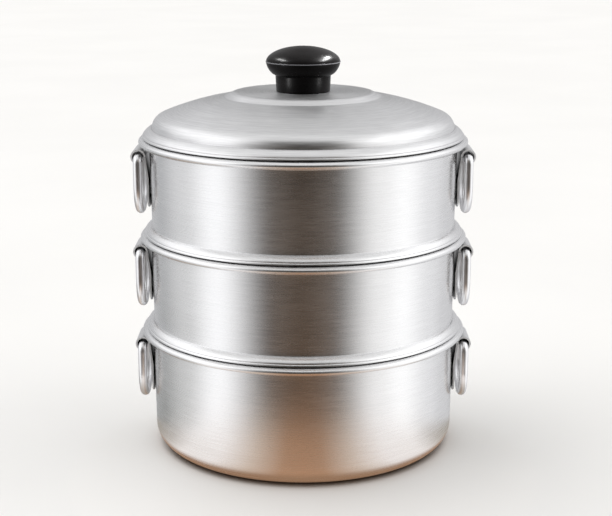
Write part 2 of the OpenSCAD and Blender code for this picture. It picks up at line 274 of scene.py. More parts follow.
class Graph:
    """A short way to write a material's nodes."""

    def __init__(self, tree: bpy.types.NodeTree) -> None:
        """Starts on a tree, which is emptied."""
        self.tree = tree
        tree.nodes.clear()

    def node(self, kind: str, inputs: Optional[dict] = None, **settings: object) -> bpy.types.Node:
        """Adds a node.

        Args:
            kind: Blender's type name of the node.
            inputs: Values or sockets for the node's inputs, by name or number.
            **settings: Properties of the node.

        Returns:
            The new node.
        """
        made = self.tree.nodes.new(kind)
        for key, value in settings.items():
            setattr(made, key, value)
        for key, value in (inputs or {}).items():
            if isinstance(value, Socket):
                self.tree.links.new(value, made.inputs[key])
            else:
                made.inputs[key].default_value = value
        return made

    def maths(self, work: str, *values: object) -> Socket:
        """Returns the result of an operation on numbers or their sockets."""
        return self.node("ShaderNodeMath", dict(enumerate(values)), operation=work).outputs[0]

    def vectors(self, work: str, *values: object) -> bpy.types.NodeOutputs:
        """Returns the outputs of an operation on vectors or their sockets."""
        return self.node("ShaderNodeVectorMath", dict(enumerate(values)), operation=work).outputs

    def place(self) -> Socket:
        """Returns the socket of the shaded point's place in its piece."""
        return self.node("ShaderNodeTexCoord").outputs["Object"]

    def split(self, vector: object) -> bpy.types.NodeOutputs:
        """Returns the three sockets of a vector's parts."""
        return self.node("ShaderNodeSeparateXYZ", {0: vector}).outputs

    def noise(self, vector: object, scale: float, detail: float, twist: float = 0.0) -> Socket:
        """Returns noise with a number of patches per unit and of finer layers, twisted if asked."""
        inputs = {"Vector": vector, "Scale": scale, "Detail": detail, "Distortion": twist}
        return self.node("ShaderNodeTexNoise", inputs).outputs[0]

    def mapped(self, value: object, low: float, high: float, to_low: float, to_high: float) -> Socket:
        """Returns a value that goes smoothly from to_low to to_high as the first goes from low to high."""
        inputs = {0: value, 1: low, 2: high, 3: to_low, 4: to_high}
        return self.node("ShaderNodeMapRange", inputs, interpolation_type="SMOOTHSTEP").outputs[0]

    def scaled(self, color: object, factor: object) -> Socket:
        """Returns a colour times a factor."""
        return self.node("ShaderNodeVectorMath", {0: color, "Scale": factor}, operation="SCALE").outputs[0]

    def mixed(self, factor: object, first: object, second: object) -> Socket:
        """Returns a mix of two colours, where the factor is the share of the second."""
        return self.node("ShaderNodeMix", {0: factor, 6: first, 7: second}, data_type="RGBA").outputs[2]

    def shade_in_gaps(self, reach: float, dark: float) -> Socket:
        """Returns a factor of painted shade that is 1 in the open and falls to dark in gaps narrower than the
        reach.
        """
        # Painted shade: ambient occlusion darkens the colour in narrow gaps.
        open_sky = self.node("ShaderNodeAmbientOcclusion", {"Distance": reach}, samples=6)
        return self.mapped(open_sky.outputs["AO"], 0.08, 0.55, dark, 1.0)

    def ramp(self, value: object, stops: Sequence[tuple[float, Color]], blend: str = "LINEAR") -> Socket:
        """Adds a colour ramp.

        Args:
            value: The socket that picks the colour.
            stops: Places and colours, in order.
            blend: How colours blend between the stops.

        Returns:
            The colour's socket.
        """
        made = self.node("ShaderNodeValToRGB", {0: value})
        made.color_ramp.interpolation = blend
        marks = made.color_ramp.elements
        while len(marks) < len(stops):
            marks.new(0.5)
        for mark, (place, color) in zip(marks, stops):
            mark.position = place
            mark.color = (*color, 1.0)
        return made.outputs[0]

    def surface(self, kind: str, inputs: dict) -> bpy.types.Node:
        """Adds the shader that the material shows.

        Args:
            kind: Blender's type name of the shader.
            inputs: Values or sockets for its inputs.

        Returns:
            The shader's node.
        """
        shader = self.node(kind, inputs)
        self.node("ShaderNodeOutputMaterial", {"Surface": shader.outputs[0]})
        return shader


def fresh_material(name: str) -> tuple[Material, Graph]:
    """Makes an empty material.

    Args:
        name: Name of the material.

    Returns:
        The material and the graph of its nodes.
    """
    made = bpy.data.materials.new(name)
    made.use_nodes = True
    return made, Graph(made.node_tree)


@dataclass(frozen=True)
class BrushedAluminium:
    """Satin aluminium with fine lines from brushing or spinning, and painted shade in gaps, behind straps and
    on a strap's side turned to the axis.
    """

    name: str
    color: Color = (0.80, 0.80, 0.805)
    roughness: float = 0.26
    anisotropic: float = 0.55
    grain: Grain = Grain.ROUND_AXIS
    lines_per_m: float = 2200.0
    line_layers: tuple[tuple[float, float, float], ...] = (
        (9.0, 1.0, 0.38), (70.0, 0.8, 0.50), (6.0, 0.12, 0.12))
    line_relief: float = 0.08
    haze: float = 0.03
    wear: float = 0.07
    # Painted shade in narrow gaps.
    gap: float = 0.85 * MM
    gap_shade: float = 0.22
    cut_edge: float = 0.72
    cut_at: tuple[float, float] = (0.55, 0.85)
    # Painted shade on a strap's side turned to the axis.
    inside_shade: float = 0.05
    inside_at: tuple[float, float] = (-0.6, -0.1)
    # Painted shade on the wall behind the straps under these rims.
    rims: tuple[float, ...] = ()
    outside_r: float = 111.0 * MM
    strap_half: float = 15.0 * MM
    strap_reach: tuple[float, float] = (50.0 * MM, 7.5 * MM)
    strap_shade: float = 0.03

    def shade_behind_straps(self, graph: Graph) -> Socket:
        """Paints shade on the outside of a wall that straps cover, where it lies in the dark.

        Args:
            graph: The material's graph.

        Returns:
            The socket of a painted shade factor that is 1 elsewhere.
        """
        spot = graph.split(graph.place())
        flat = graph.node("ShaderNodeCombineXYZ", {0: spot[0], 1: spot[1]}).outputs[0]
        out = graph.vectors("LENGTH", flat)["Value"]
        off = graph.maths("ABSOLUTE", spot[1])
        cover = graph.maths("MULTIPLY", graph.mapped(off, self.strap_half - MM, self.strap_half, 1.0, 0.0),
                            graph.mapped(out, self.outside_r, self.outside_r + 0.2 * MM, 0.0, 1.0))
        foot, top = self.strap_reach
        levels: object = 0.0
        for rim in self.rims:
            above = graph.mapped(spot[2], rim - foot - MM, rim - foot + MM, 0.0, 1.0)
            under = graph.mapped(spot[2], rim - top - MM, rim - top, 1.0, 0.0)
            levels = graph.maths("MULTIPLY_ADD", above, under, levels)
        # Painted shade: the covered wall darkens to the strap's shade factor.
        return graph.maths("MULTIPLY_ADD", graph.maths("MULTIPLY", cover, levels), self.strap_shade - 1.0, 1.0)

    def sheet_faces(self, graph: Graph) -> tuple[Socket, Socket]:
        """Tells the faces of a strap's sheet apart by the way they look.

        Args:
            graph: The material's graph.

        Returns:
            The sockets of a painted shade factor that darkens the side turned to the axis, and of how matt a
            cut edge is.
        """
        facing = graph.split(graph.node("ShaderNodeNewGeometry").outputs["Normal"])
        outward = graph.maths("MULTIPLY", facing[0], graph.maths("SIGN", graph.split(graph.place())[0]))
        # Painted shade on the side turned to the axis.
        inside = graph.mapped(outward, *self.inside_at, self.inside_shade, 1.0)
        return inside, graph.mapped(graph.maths("ABSOLUTE", facing[1]), *self.cut_at, 0.0, self.cut_edge)

    def lines(self, graph: Graph, slow: float, fast: float) -> Socket:
        """Draws noise that is drawn out along the brushing.

        Args:
            graph: The material's graph.
            slow: How fast it changes along the lines, per metre.
            fast: How fast it changes across them, per metre.

        Returns:
            The noise's socket.
        """
        place = graph.split(graph.place())
        section = graph.split(graph.node("ShaderNodeUVMap", uv_map="UVMap").outputs[0])
        at = graph.node("ShaderNodeCombineXYZ", {
            0: graph.maths("MULTIPLY", place[0], slow),
            1: graph.maths("MULTIPLY", place[1], slow),
            2: graph.maths("MULTIPLY", section[1], fast)})
        return graph.noise(at.outputs[0], 1.0, 3.0)

    def streaks(self, graph: Graph) -> Socket:
        """Mixes layers of lines, each with a scale along them, one across them and a weight.

        Args:
            graph: The material's graph.

        Returns:
            The socket of the mix.
        """
        mix: object = 0.0
        for slow, fast, weight in self.line_layers:
            mix = graph.maths("MULTIPLY_ADD", self.lines(graph, slow, fast * self.lines_per_m), weight, mix)
        return mix

    def material(self) -> Material:
        """Builds the material.

        Returns:
            The material.
        """
        made, graph = fresh_material(self.name)
        place = graph.place()
        streak = self.streaks(graph)
        cloud = graph.noise(place, 22.0, 3.0)
        rubs = graph.noise(place, 160.0, 2.0, 0.6)
        # Brushing lines vary the tone; painted shade darkens the gaps.
        shade = graph.maths("MULTIPLY", graph.mapped(streak, 0.38, 0.62, 1.0 - self.wear, 1.0),
                            graph.shade_in_gaps(self.gap, self.gap_shade))
        rough = graph.mapped(streak, 0.35, 0.65, self.roughness - 0.03, self.roughness + 0.03)
        rough = graph.maths("ADD", rough, graph.mapped(cloud, *MATT_NOISE, -0.3 * self.haze, self.haze))
        rough = graph.maths("ADD", rough, graph.mapped(rubs, 0.62, 0.75, 0.0, 0.03))
        metal: object = 1.0
        # Painted shade on the wall behind the straps.
        if self.rims:
            shade = graph.maths("MULTIPLY", shade, self.shade_behind_straps(graph))
        if self.grain is Grain.ALONG_SHEET:
            # Painted shade on the strap's side turned to the axis.
            inside, edge = self.sheet_faces(graph)
            shade = graph.maths("MULTIPLY", shade, inside)
            rough = graph.maths("ADD", rough, edge)
            metal = graph.maths("SUBTRACT", 1.0, edge)
        bump = graph.node("ShaderNodeBump", {
            "Strength": self.line_relief, "Distance": BUMP_DEPTH, "Height": streak})
        shader = graph.surface("ShaderNodeBsdfPrincipled", {
            "Base Color": graph.scaled(self.color, shade), "Metallic": metal, "Roughness": rough,
            "Normal": bump.outputs[0], "Anisotropic": self.anisotropic})
        if self.grain is Grain.NONE:
            return made
        if self.grain is Grain.ROUND_AXIS:
            shader.inputs["Anisotropic Rotation"].default_value = 0.25
            tangent = graph.node("ShaderNodeTangent", direction_type="RADIAL", axis="Z")
        else:
            tangent = graph.node("ShaderNodeTangent", direction_type="UV_MAP", uv_map="UVMap")
        graph.tree.links.new(tangent.outputs[0], shader.inputs["Tangent"])
        return made


@dataclass(frozen=True)
class PolishedMetal:
    """Bright metal with light handling marks and painted shade in gaps."""

    name: str
    color: Color = (0.88, 0.88, 0.89)
    roughness: float = 0.31
    marks: float = 0.05
    dents: float = 0.03
    scratches: tuple[float, float, float] = (900.0, 900.0, 90.0)
    gap: float = 3.0 * MM
    gap_shade: float = 0.08

    def material(self) -> Material:
        """Builds the material.

        Returns:
            The material.
        """
        made, graph = fresh_material(self.name)
        place = graph.place()
        cloud = graph.noise(place, 140.0, 4.0)
        scratch = graph.noise(graph.vectors("MULTIPLY", place, self.scratches)[0], 1.0, 2.0)
        rough = graph.mapped(cloud, *MATT_NOISE, self.roughness - 0.02, self.roughness + self.marks)
        rough = graph.maths("ADD", rough, graph.mapped(scratch, 0.62, 0.78, 0.0, 0.08))
        # The tone varies at random; painted shade darkens the gaps.
        tint = graph.scaled(self.color, graph.maths(
            "MULTIPLY", graph.mapped(cloud, *DARK_NOISE, 0.93, 1.0), graph.shade_in_gaps(self.gap, self.gap_shade)))
        bump = graph.node("ShaderNodeBump", {"Strength": self.dents, "Distance": BUMP_DEPTH, "Height": cloud})
        graph.surface("ShaderNodeBsdfPrincipled", {
            "Base Color": tint, "Metallic": 1.0, "Roughness": rough, "Normal": bump.outputs[0]})
        return made


@dataclass(frozen=True)
class GlossPlastic:
    """Black moulded plastic, glossy with a faint ripple, fine dust marks and a painted highlight along the
    moulding seam.
    """

    name: str
    seam_z: float
    seam_h: float = 0.5 * MM
    color: Color = (0.002, 0.0018, 0.0018)
    # Painted highlight along the moulding seam.
    seam_highlight: Color = (0.055, 0.055, 0.058)
    dust: float = 2.2
    roughness: float = 0.26
    gloss: float = 0.05
    ripple: float = 0.02
    ripple_depth: float = 0.1 * MM

    def material(self) -> Material:
        """Builds the material.

        Returns:
            The material.
        """
        made, graph = fresh_material(self.name)
        place = graph.place()
        cloud = graph.noise(place, 90.0, 3.0)
        grit = graph.noise(place, 2600.0, 2.0)
        off = graph.maths("ABSOLUTE", graph.maths("SUBTRACT", graph.split(place)[2], self.seam_z))
        tint = graph.ramp(grit, [(0.55, self.color), (0.85, tuple(self.dust * part for part in self.color))])
        # Painted highlight along the moulding seam.
        tint = graph.mixed(graph.mapped(off, 0.25 * self.seam_h, self.seam_h, 1.0, 0.0), tint,
                           (*self.seam_highlight, 1.0))
        rough = graph.mapped(cloud, *MATT_NOISE, self.roughness - 0.02, self.roughness + 0.04)
        rough = graph.maths("ADD", rough, graph.mapped(grit, 0.6, 0.8, 0.0, 0.06))
        bump = graph.node("ShaderNodeBump", {
            "Strength": self.ripple, "Distance": self.ripple_depth, "Height": cloud})
        graph.surface("ShaderNodeBsdfPrincipled", {
            "Base Color": tint, "Roughness": rough, "Normal": bump.outputs[0],
            "Specular IOR Level": self.gloss})
        return made


@dataclass
class Sections:
    """Sizes that the spun pieces share, in metres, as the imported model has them."""

    rim_r: float
    rim_out: float = 7.8 * MM
    rim_h: float = 6.5 * MM
    rim_nose: float = 7.0 * MM
    draft: float = 0.8 * MM
    sheet: float = 1.5 * MM
    skirt_gap: float = 0.6 * MM
    skirt_h: float = 9.0 * MM
    seat_gap: float = 0.3 * MM
    ledge_h: float = 6.5 * MM
    ledge_w: float = 6.0 * MM
    ledge_cone: float = 1.5
    lip_in: float = 2.8 * MM
    lip_h: float = 1.8 * MM
    lip_nose: float = 2.0 * MM
    lip_step: float = 0.9 * MM

    @property
    def wall_r(self) -> float:
        """Outer radius of a wall under its rim."""
        return self.rim_r - self.rim_out

    @property
    def foot_r(self) -> float:
        """Outer radius of a wall at its foot."""
        return self.wall_r - self.draft

    @property
    def skirt_r(self) -> float:
        """Outer radius of the skirts that enter a rim."""
        return self.wall_r - self.sheet - self.skirt_gap

    def rolled_rim(self, z: float) -> list[Corner]:
        """Lists the corners from the outer wall over a rolled rim to the inside.

        Args:
            z: Height of the rim's top.

        Returns:
            The corners, from outside to inside.
        """
        half = self.rim_h / 2
        return [Corner(self.wall_r, z - self.rim_h, 0.5 * MM),
                *nose(self.rim_r, self.rim_nose, z - half, half),
                Corner(self.wall_r - self.sheet, z, 1.1 * MM)]

    def foot_flange(self, z: float, wall: float) -> list[Corner]:
        """Lists the corners from a skirt's foot over the flange to the wall above.

        Args:
            z: Height of the rim that the flange rests on.
            wall: Radius of the wall above the flange.

        Returns:
            The corners, from the skirt upward.
        """
        lip_r = self.rim_r - self.lip_in
        ledge_r = lip_r - self.lip_step
        base, lip_top = z + self.seat_gap, z + self.seat_gap + self.lip_h
        hidden = math.degrees(math.acos(1.0 - self.lip_step / self.lip_nose))
        lip = nose(lip_r, self.lip_nose, base, self.lip_h, 0.0, hidden)
        groove = [Corner(ledge_r - 0.15 * MM, lip[-1].z + 0.05 * MM), Corner(ledge_r - 0.05 * MM, lip_top)]
        rise = z + self.ledge_h - lip_top
        turns = [math.radians(a) for a in range(4, 91, 6)]
        ledge = [Corner(ledge_r - self.ledge_w + self.ledge_w * math.cos(t) ** self.ledge_cone,
                        lip_top + rise * math.sin(t) ** self.ledge_cone) for t in turns]
        ledge = [corner for corner in ledge if corner.r > wall + 0.3 * MM]
        end = Corner(wall, ledge[-1].z, 0.3 * MM)
        return [Corner(self.skirt_r, base, 0.4 * MM), *lip, *groove, *ledge, end]


def put(piece: Object, finish: Material, body: str, node: str) -> None:
    """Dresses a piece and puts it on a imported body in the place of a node.

    Args:
        piece: The piece.
        finish: Its material.
        body: Name of the body that it rides on.
        node: Name of the node that it replaces.
    """
    piece.data.materials.append(finish)
    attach(piece, body)
    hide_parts(node)
    log.info("%s rides on %s", piece.name, body)


@dataclass
class BottomPot:
    """The deep pot that holds the water."""

    shared: Sections
    finish: BrushedAluminium
    corner: float = 15.0 * MM

    def build(self) -> None:
        """Spins the pot, dresses it and puts it in its node's place."""
        low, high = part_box("bottom_pot")
        s, inner = self.shared, self.corner - self.shared.sheet
        path = rounded_path([
            Corner(0, low.z), Corner(s.foot_r, low.z, self.corner), *s.rolled_rim(high.z),
            Corner(s.foot_r - s.sheet, low.z + s.sheet, inner), Corner(0, low.z + s.sheet)])
        pot = new_object("water_pot", spin(spaced(path, 6 * MM)))
        put(pot, self.finish.material(), Tier.BOTTOM.body, "bottom_pot")


@dataclass
class SteamingPan:
    """A pan with a perforated floor that stands on the rim below it."""

    shared: Sections
    tier: Tier
    finish: Material
    corner: float = 5.0 * MM
    hole_d: float = 5.0 * MM
    hole_pitch: float = 18.0 * MM
    hole_rings: int = 5
    plate_r: float = 98.0 * MM

    def wall(self, rim_below: float, rim: float) -> Mesh:
        """Spins everything outside the perforated floor.

        Args:
            rim_below: Height of the rim that the pan stands on.
            rim: Height of the pan's own rim.

        Returns:
            The mesh, open at the floor's round plate.
        """
        s = self.shared
        under, over = rim_below - s.skirt_h, rim_below - s.skirt_h + s.sheet
        path = rounded_path([
            Corner(self.plate_r, under), Corner(s.skirt_r, under, self.corner),
            *s.foot_flange(rim_below, s.foot_r), *s.rolled_rim(rim),
            Corner(s.foot_r - s.sheet, rim_below + s.ledge_h, 3 * MM),
            Corner(s.skirt_r - s.sheet, rim_below + 1.3 * MM, 3 * MM),
            Corner(s.skirt_r - s.sheet, over, self.corner - s.sheet), Corner(self.plate_r, over)])
        return spin(spaced(path, 6 * MM))

    def hole_centres(self) -> Iterator[Point]:
        """Finds the middles of the steam holes, ring by ring.

        Yields:
            The middle of each hole, as X and Y.
        """
        yield 0.0, 0.0
        for ring in range(1, self.hole_rings + 1):
            for i in range(6 * ring):
                turn = math.tau * i / (6 * ring)
                yield ring * self.hole_pitch * math.cos(turn), ring * self.hole_pitch * math.sin(turn)

    def add_floor(self, mesh: Mesh, under: float) -> None:
        """Fills the open floor with a plate that has the steam holes.

        Args:
            mesh: The pan's mesh, which the plate joins.
            under: Height of the floor's underside.
        """
        curve = bpy.data.curves.new("floor_outline", "CURVE")
        curve.dimensions, curve.fill_mode, curve.extrude = "2D", "BOTH", self.shared.sheet / 2
        rounds = [((0.0, 0.0), self.plate_r, ROUND_STEPS)]
        rounds += [(centre, self.hole_d / 2, 24) for centre in self.hole_centres()]
        for (x, y), r, steps in rounds:
            line = curve.splines.new("POLY")
            line.points.add(steps - 1)
            for k, spot in enumerate(line.points):
                turn = math.tau * k / steps
                spot.co = (x + r * math.cos(turn), y + r * math.sin(turn), 0.0, 1.0)
            line.use_cyclic_u = True
        holder = bpy.data.objects.new("floor_outline", curve)
        bpy.context.scene.collection.objects.link(holder)
        plate = bpy.data.meshes.new_from_object(holder.evaluated_get(bpy.context.evaluated_depsgraph_get()))
        bpy.data.objects.remove(holder)
        before = set(mesh.verts)
        mesh.from_mesh(plate)
        bpy.data.meshes.remove(plate)
        uv = uv_map(mesh)
        added = [v for v in mesh.verts if v not in before]
        for v in added:
            v.co.z += under + self.shared.sheet / 2
        edge = self.plate_r * 0.999
        outer = [f for f in mesh.faces if all(v not in before and v.co.xy.length > edge for v in f.verts)
                 and abs(f.normal.z) < 0.5]
        bmesh.ops.delete(mesh, geom=outer, context="FACES_ONLY")
        for face in mesh.faces:
            for loop in face.loops:
                if loop.vert not in before:
                    loop[uv].uv = (0.0, loop.vert.co.xy.length)
        bmesh.ops.remove_doubles(mesh, verts=mesh.verts, dist=0.01 * MM)

    def build(self) -> None:
        """Spins the pan, fills its floor, dresses it and puts it in its node's place."""
        low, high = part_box(self.tier.vessel)
        mesh = self.wall(low.z + self.shared.skirt_h, high.z)
        self.add_floor(mesh, low.z)
        pan = new_object(f"{self.tier.prefix}_steaming_pan", mesh)
        put(pan, self.finish, self.tier.body, self.tier.vessel)


@dataclass
class Lid:
    """The domed lid with its raised disc."""

    shared: Sections
    finish: BrushedAluminium
    sheet: float = 1.2 * MM
    shoulder_z: float = 6.0 * MM
    shoulder_r: float = 10.0 * MM
    dome_r: float = 200.0 * MM
    dome_h: float = 28.3 * MM
    disc_r: float = 56.8 * MM
    disc_slope: float = 6.4 * MM
    disc_h: float = 3.3 * MM
    hole_r: float = 2.8 * MM

    def crown(self, inset: float, rim: float) -> list[Point]:
        """Follows the lid's top from its shoulder to the screw hole.

        Args:
            inset: Distance inside the outer surface.
            rim: Height of the rim that the lid rests on.

        Returns:
            The points, from outside to inside.
        """
        shoulder = Vector((self.shared.skirt_r - self.shoulder_r, self.shoulder_z))
        foot = Vector((self.disc_r, self.dome_h))
        reach, gap = foot - shoulder, self.dome_r - self.shoulder_r
        along = (self.dome_r ** 2 - gap ** 2 - reach.length_squared) / (2 * gap)
        turn = math.atan2(reach.y, reach.x) - math.acos(along / reach.length)
        centre = shoulder - gap * Vector((math.cos(turn), math.sin(turn)))
        end = math.atan2(foot.y - centre.y, foot.x - centre.x)
        top = self.dome_h + self.disc_h - inset
        edge = arc_points(tuple(shoulder), self.shoulder_r - inset, 0.0, turn, 0.08)
        dome = arc_points(tuple(centre), self.dome_r - inset, turn, end, 0.012)
        last, before = dome[-1], dome[-4]
        disc = rounded_path([
            Corner(*before), Corner(*last, 5 * MM),
            Corner(self.disc_r - self.disc_slope - inset / 2, top, 9 * MM), Corner(self.hole_r, top)])
        return [(r, z + rim) for r, z in edge + dome[1:-4] + disc]

    def build(self) -> None:
        """Spins the lid, dresses it and puts it in its node's place."""
        s = self.shared
        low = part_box("lid")[0].z
        rim = low + s.skirt_h
        outside = rounded_path([
            Corner(s.skirt_r - self.sheet, low), Corner(s.skirt_r, low, 0.5 * MM),
            *s.foot_flange(rim, s.skirt_r), Corner(s.skirt_r, rim + self.shoulder_z + s.seat_gap)])
        crown, under = self.crown(0.0, rim), self.crown(self.sheet, rim)
        path = outside + crown + under[::-1] + [outside[0]]
        lid = new_object("domed_lid", spin(spaced(path, 5 * MM)))
        put(lid, self.finish.material(), "lid_body", "lid")


@dataclass
class Knob:
    """The black knob on the lid."""

    neck_r: float = 19.5 * MM
    neck_flare: float = 0.6 * MM
    neck_h: float = 12.0 * MM
    under_h: float = 9.4 * MM
    under_cone: float = 1.25
    seam: float = 0.25 * MM
    pocket_r: float = 4.6 * MM
    pocket_h: float = 13.1 * MM

    def build(self) -> Object:
        """Spins the knob, dresses it and puts it in its node's place.

        Returns:
            The knob.
        """
        low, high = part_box("lid_knob")
        wide_r, wide_z = high.x - self.seam, low.z + self.neck_h + self.under_h
        crown_h = high.z - wide_z
        neck_top = self.neck_r + self.neck_flare
        belly = [(neck_top + (wide_r - neck_top) * math.cos(t) ** self.under_cone,
                  wide_z - self.under_h * math.sin(t) ** self.under_cone)
                 for t in (math.radians(a) for a in range(84, 0, -4))]
        crown = [(wide_r * math.cos(t), wide_z + crown_h * math.sin(t))
                 for t in (math.radians(a) for a in range(3, 90, 3))]
        neck = rounded_path([
            Corner(self.pocket_r, low.z), Corner(self.neck_r, low.z, 0.8 * MM),
            Corner(neck_top, low.z + self.neck_h, 0.9 * MM), Corner(*belly[1])])
        seam = [(wide_r, wide_z - 0.35 * MM), (wide_r + self.seam, wide_z - 0.1 * MM),
                (wide_r + self.seam, wide_z + 0.2 * MM), (wide_r, wide_z + 0.5 * MM)]
        pocket = [(0.0, low.z + self.pocket_h), (self.pocket_r, low.z + self.pocket_h)]
        path = neck + belly[2:] + seam + crown + [(0.0, high.z)]
        knob = new_object("lid_grip", spin(pocket + path), 50.0)
        finish = GlossPlastic("black_knob", wide_z + 0.05 * MM)
        put(knob, finish.material(), "lid_body", "lid_knob")
        return knob


@dataclass
class Handle:
    """One ring handle: its wire ring and the strap that holds it."""

    tier: Tier
    side: Side
    ring_finish: Material
    strap_finish: Material
    rim: float
    wall_r: float
    wire_r: float = 3.2 * MM
    ring_w: float = 40.0 * MM
    ring_h: float = 40.0 * MM
    bend: float = 4.5 * MM
    bar_out: float = 7.4 * MM
    bar_drop: float = 15.0 * MM
    strap_w: float = 30.0 * MM
    strap_t: float = 1.25 * MM
    strap_drop: float = 52.0 * MM
    curl_r: float = 4.2 * MM
    bar_gap: float = 0.3 * MM
    curl_end: float = 110.0
    slope_h: float = 16.0 * MM
    strap_corner: float = 6.0 * MM
    strap_edge: float = 0.42 * MM
    strap_columns: int = 8
    wire_sides: int = 32

    def ring_line(self) -> list[Vector]:
        """Follows the middle of the wire once round the ring.

        Returns:
            The points of the closed line, as Y and Z.
        """
        half, bow = self.ring_w / 2, self.ring_w / 2 - self.ring_h
        line = [Vector((y * (half - self.bend) / 8, 0)) for y in range(-8, 8)]
        line += [Vector(p) for p in arc_points((half - self.bend, -self.bend), self.bend, math.pi / 2, 0)]
        line += [Vector(p) for p in arc_points((0, bow), half, 0, -math.pi, 0.09)]
        last = arc_points((self.bend - half, -self.bend), self.bend, math.pi, math.pi / 2)
        return line + [Vector(p) for p in last[:-1]]

    def ring(self) -> None:
        """Sweeps the wire round the ring, dresses it and puts it in its node's place."""
        line = self.ring_line()
        mesh = bmesh.new()
        x, z = self.side.sign * (self.wall_r + self.bar_out), self.rim - self.bar_drop
        hoops = []
        for i, spot in enumerate(line):
            ahead = (line[(i + 1) % len(line)] - line[i - 1]).normalized()
            out = Vector((ahead.y, -ahead.x))
            hoop = []
            for k in range(self.wire_sides):
                turn = math.tau * k / self.wire_sides
                flat = spot + out * (self.wire_r * math.cos(turn))
                hoop.append(mesh.verts.new((x + self.wire_r * math.sin(turn), flat.x, z + flat.y)))
            hoops.append(hoop)
        for i, hoop in enumerate(hoops):
            after = hoops[(i + 1) % len(hoops)]
            for k in range(self.wire_sides):
                n = (k + 1) % self.wire_sides
                steps = ((i, k), (i + 1, k), (i + 1, k + 1), (i, k + 1))
                add_face(mesh, (hoop[k], after[k], after[n], hoop[n]),
                         [(a / len(hoops), b / self.wire_sides) for a, b in steps])
        name = f"{self.tier.prefix}_{self.side.word}_ring"
        put(new_object(f"{name}_wire", mesh), self.ring_finish, f"{name}_body", name)

    def strap_line(self) -> list[Point]:
        """Follows the middle of the strap's sheet, from its foot to the curl's end.

        Returns:
            The points, as X and as Z under the rim.
        """
        middle = self.wall_r + self.strap_t / 2
        bar = self.wall_r + self.bar_out
        curl_z = self.curl_r - self.wire_r - self.bar_gap - self.bar_drop
        radius = self.curl_r + self.strap_t / 2
        leg = rounded_path([
            Corner(middle, -self.strap_drop), Corner(middle, curl_z - self.slope_h, 14 * MM),
            Corner(bar - radius, curl_z - 0.6 * MM, 10 * MM), Corner(bar - radius, curl_z)])
        curl = arc_points((bar, curl_z), radius, math.pi, -math.radians(self.curl_end), 0.14)
        return spaced(leg, 3 * MM) + curl[1:]

    def strap_half(self, rise: float) -> float:
        """Finds half the strap's width, which its round lower corners narrow.

        Args:
            rise: Height above the strap's foot.

        Returns:
            Half the width.
        """
        short = self.strap_corner - min(rise, self.strap_corner)
        pull = self.strap_corner - math.sqrt(max(0.0, self.strap_corner ** 2 - short ** 2))
        return self.strap_w / 2 - pull

    def strap(self) -> None:
        """Folds the strap along its middle line, dresses it and puts it in its node's place."""
        line = [Vector(p) for p in self.strap_line()]
        mesh = bmesh.new()
        foot = line[0].y
        ways = [2 * c / self.strap_columns - 1 for c in range(self.strap_columns + 1)]
        rows, run, lengths = [], 0.0, []
        for i, spot in enumerate(line):
            ahead = (line[min(i + 1, len(line) - 1)] - line[max(i - 1, 0)]).normalized()
            out = Vector((ahead.y, -ahead.x)) * (self.strap_t / 2)
            run += (spot - line[i - 1]).length if i else 0.0
            half = self.strap_half(spot.y - foot if i < len(line) / 2 else self.strap_corner)
            skins = []
            for at in (spot + out, spot - out):
                places = [(self.side.sign * at.x, half * way, self.rim + at.y) for way in ways]
                skins.append([mesh.verts.new(place) for place in places])
            rows.append(skins)
            lengths.append(run)
        quads = []
        for i, (a, b) in enumerate(zip(rows, rows[1:])):
            for c in range(self.strap_columns):
                quads += [((a[k][c], b[k][c], b[k][c + 1], a[k][c + 1]), i, i + 1) for k in (0, 1)]
            quads += [((a[0][c], b[0][c], b[1][c], a[1][c]), i, i + 1) for c in (0, self.strap_columns)]
        for i, row in ((0, rows[0]), (len(rows) - 1, rows[-1])):
            quads += [((row[0][c], row[1][c], row[1][c + 1], row[0][c + 1]), i, i)
                      for c in range(self.strap_columns)]
        for corners, low, high in quads:
            add_face(mesh, corners, [(lengths[row], corner.co.y)
                                     for corner, row in zip(corners, (low, high, high, low))])
        name = f"{self.tier.prefix}_{self.side.word}_strap"
        strap = new_object(f"{name}_sheet", mesh, 35.0)
        edge = strap.modifiers.new("soft_edges", "BEVEL")
        edge.width, edge.segments = self.strap_edge, 3
        edge.limit_method, edge.angle_limit = "ANGLE", math.radians(50)
        edge.harden_normals = True
        put(strap, self.strap_finish, self.tier.body, name)

    def build(self) -> None:
        """Builds the strap and the ring."""
        self.strap()
        self.ring()


@dataclass
class PackedPieces:
    """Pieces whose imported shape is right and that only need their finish."""

    finish: Material
    slot: str
    nodes: Sequence[str]

    def dress(self) -> None:
        """Gives the pieces their finish."""
        for node in self.nodes:
            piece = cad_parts[node]
            while len(piece.material_slots) > 1:
                piece.data.materials.pop()
            if not piece.material_slots:
                piece.data.materials.append(self.finish)
            piece.material_slots[0].material = self.finish
            log.info("%s keeps its packed shape", node)


@dataclass(frozen=True)
class SoftBox:
    """A lamp a metre from the knob's top, which its angles place from the front, in degrees."""

    name: str
    right: float
    rise: float
    size: tuple[float, float]
    glare: float

    def light(self, piece: Object) -> None:
        """Hangs the lamp so that it lights one piece only.

        Args:
            piece: The piece.
        """
        wide, high = self.size
        data = bpy.data.lights.new(self.name, "AREA")
        data.shape, data.size, data.size_y = "RECTANGLE", wide, high
        data.energy = self.glare * math.pi * wide * high
        lamp = bpy.data.objects.new(self.name, data)
        turn, rise = math.radians(self.right), math.radians(self.rise)
        away = Vector((math.sin(turn) * math.cos(rise), -math.cos(turn) * math.cos(rise), math.sin(rise)))
        lamp.location = Vector((0.0, 0.0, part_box("lid_knob")[1].z)) + away
        lamp.rotation_mode = "QUATERNION"
        lamp.rotation_quaternion = (-away).to_track_quat("-Z", "Y")
        lamp.visible_camera = False
        bpy.context.scene.collection.objects.link(lamp)
        lit = bpy.data.collections.new(self.name)
        lit.objects.link(piece)
        lamp.light_linking.receiver_collection = lit


